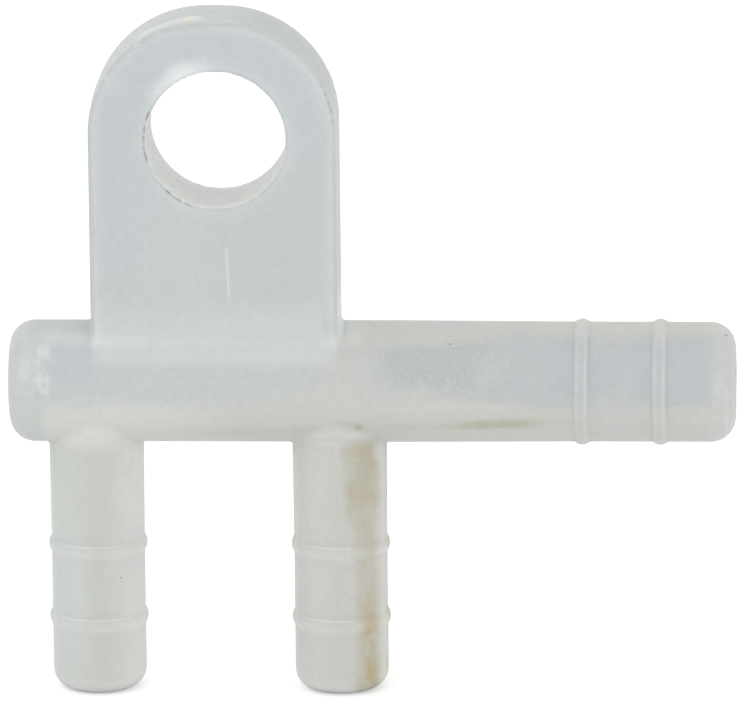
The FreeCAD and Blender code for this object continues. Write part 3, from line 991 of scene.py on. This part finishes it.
cad_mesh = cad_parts["connector_body"].data
cad_points = [vertex.co for vertex in cad_mesh.vertices]
cad_faces = [face.vertices for face in cad_mesh.polygons]
cad_surface = BVHTree.FromPolygons(cad_points, cad_faces)
gaps = [cad_surface.find_nearest(Vector(place))[3] / MM for place in places[::SAMPLE_EVERY]]
print("away from the CAD surface, mm: mean", round(float(np.mean(gaps)), 4))
print("away from the CAD surface, mm: most", round(float(np.max(gaps)), 3))

# %% Hand the piece over
moulding_piece = put_in_scene("connector_moulding", mesh)
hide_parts("connector_body")
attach(moulding_piece, "root")
print(moulding_piece.name, "stands for connector_body")

# %% [markdown]
# ## The floor
#
# The photograph stands on plain white. A pale matt floor just under the stubs keeps their soft shadow, and
# a little glow that only the camera sees lifts the rest of it to white. The glow adds no light to the
# plastic, because Light Path tells the two apart. From below, the floor is see-through, so the stubs'
# mouths can be looked at.

# %% A plain pale floor
FLOOR_HALF = 1.5
FLOOR_GAP_MM = 0.05
FLOOR_HEIGHT = (SIZES["Stub end"] - FLOOR_GAP_MM) * MM

floor_mesh = bpy.data.meshes.new("floor")
signs = [(-1, -1), (1, -1), (1, 1), (-1, 1)]
corners = [(right * FLOOR_HALF, back * FLOOR_HALF, FLOOR_HEIGHT) for right, back in signs]
floor_mesh.from_pydata(corners, [], [(0, 1, 2, 3)])
floor = put_in_scene("floor", floor_mesh)
print("floor", FLOOR_GAP_MM, "mm under the stubs")

# %% White to the camera, pale to the plastic, see-through from below
WHITE = (1.0, 1.0, 1.0, 1.0)
FLOOR_TONE = (0.9, 0.9, 0.9, 1.0)
FLOOR_GLOW = 0.35

floor_material = bpy.data.materials.new("pale_floor")
ground = clear_tree(floor_material)
seen_by_camera = ground.node("ShaderNodeLightPath", output="Is Camera Ray")
matt = ground.node("ShaderNodeBsdfDiffuse", values={"Color": FLOOR_TONE})
glow_values = {"Color": WHITE, "Strength": seen_by_camera * FLOOR_GLOW}
floor_glow = ground.node("ShaderNodeEmission", values=glow_values)
top_side = ground.node("ShaderNodeAddShader", values={0: matt, 1: floor_glow})
from_below = ground.node("ShaderNodeNewGeometry", output="Backfacing") * seen_by_camera
see_through = ground.node("ShaderNodeBsdfTransparent")
both_sides = {0: from_below, 1: top_side, 2: see_through}
show_surface(ground.node("ShaderNodeMixShader", values=both_sides), "ShaderNodeOutputMaterial")
floor_mesh.materials.append(floor_material)
print("floor glows by", FLOOR_GLOW, "to the camera only")

# %% [markdown]
# ## The light
#
# Milky plastic looks flat in the photograph, because light reaches it from all sides. So the world gives
# most of the light, a small lamp high on the left gives the lug's top its sheen, and two low fills open the
# shadows under the beads. Together they show a colour about as it is written.

# %% The world around it
WORLD_LIGHT = 0.86
WORLD_SEEN = 1.0

world = bpy.data.worlds.new("studio")
bpy.context.scene.world = world
sky = clear_tree(world)
seen = sky.node("ShaderNodeLightPath", output="Is Camera Ray")
strength = WORLD_LIGHT + seen * (WORLD_SEEN - WORLD_LIGHT)
background = sky.node("ShaderNodeBackground", values={"Color": WHITE, "Strength": strength})
show_surface(background, "ShaderNodeOutputWorld")
print("world gives", WORLD_LIGHT, "and shows as", WORLD_SEEN)


# %% Three lamps
def soft_box(name, place, size_m, watts):
    """A square area lamp that looks at the middle of the part."""
    lamp = bpy.data.lights.new(name, "AREA")
    lamp.size = size_m
    lamp.energy = watts
    holder = put_in_scene(name, lamp)
    holder.location = Vector(place)
    holder.rotation_mode = "QUATERNION"
    holder.rotation_quaternion = (AIM - Vector(place)).to_track_quat("-Z", "Y")
    print(name, watts, "W from", place)


soft_box("key", (-0.35, -0.45, 0.5), 0.25, 0.3)
soft_box("right fill", (0.45, -0.55, -0.01), 0.3, 1.1)
soft_box("left fill", (-0.55, -0.45, -0.01), 0.3, 0.7)

# %% [markdown]
# ## Colour management
#
# The Standard view shows colours as they are written. The visual piece has to stay inside the model.

# %% Colour management
bpy.context.scene.view_settings.view_transform = "Standard"
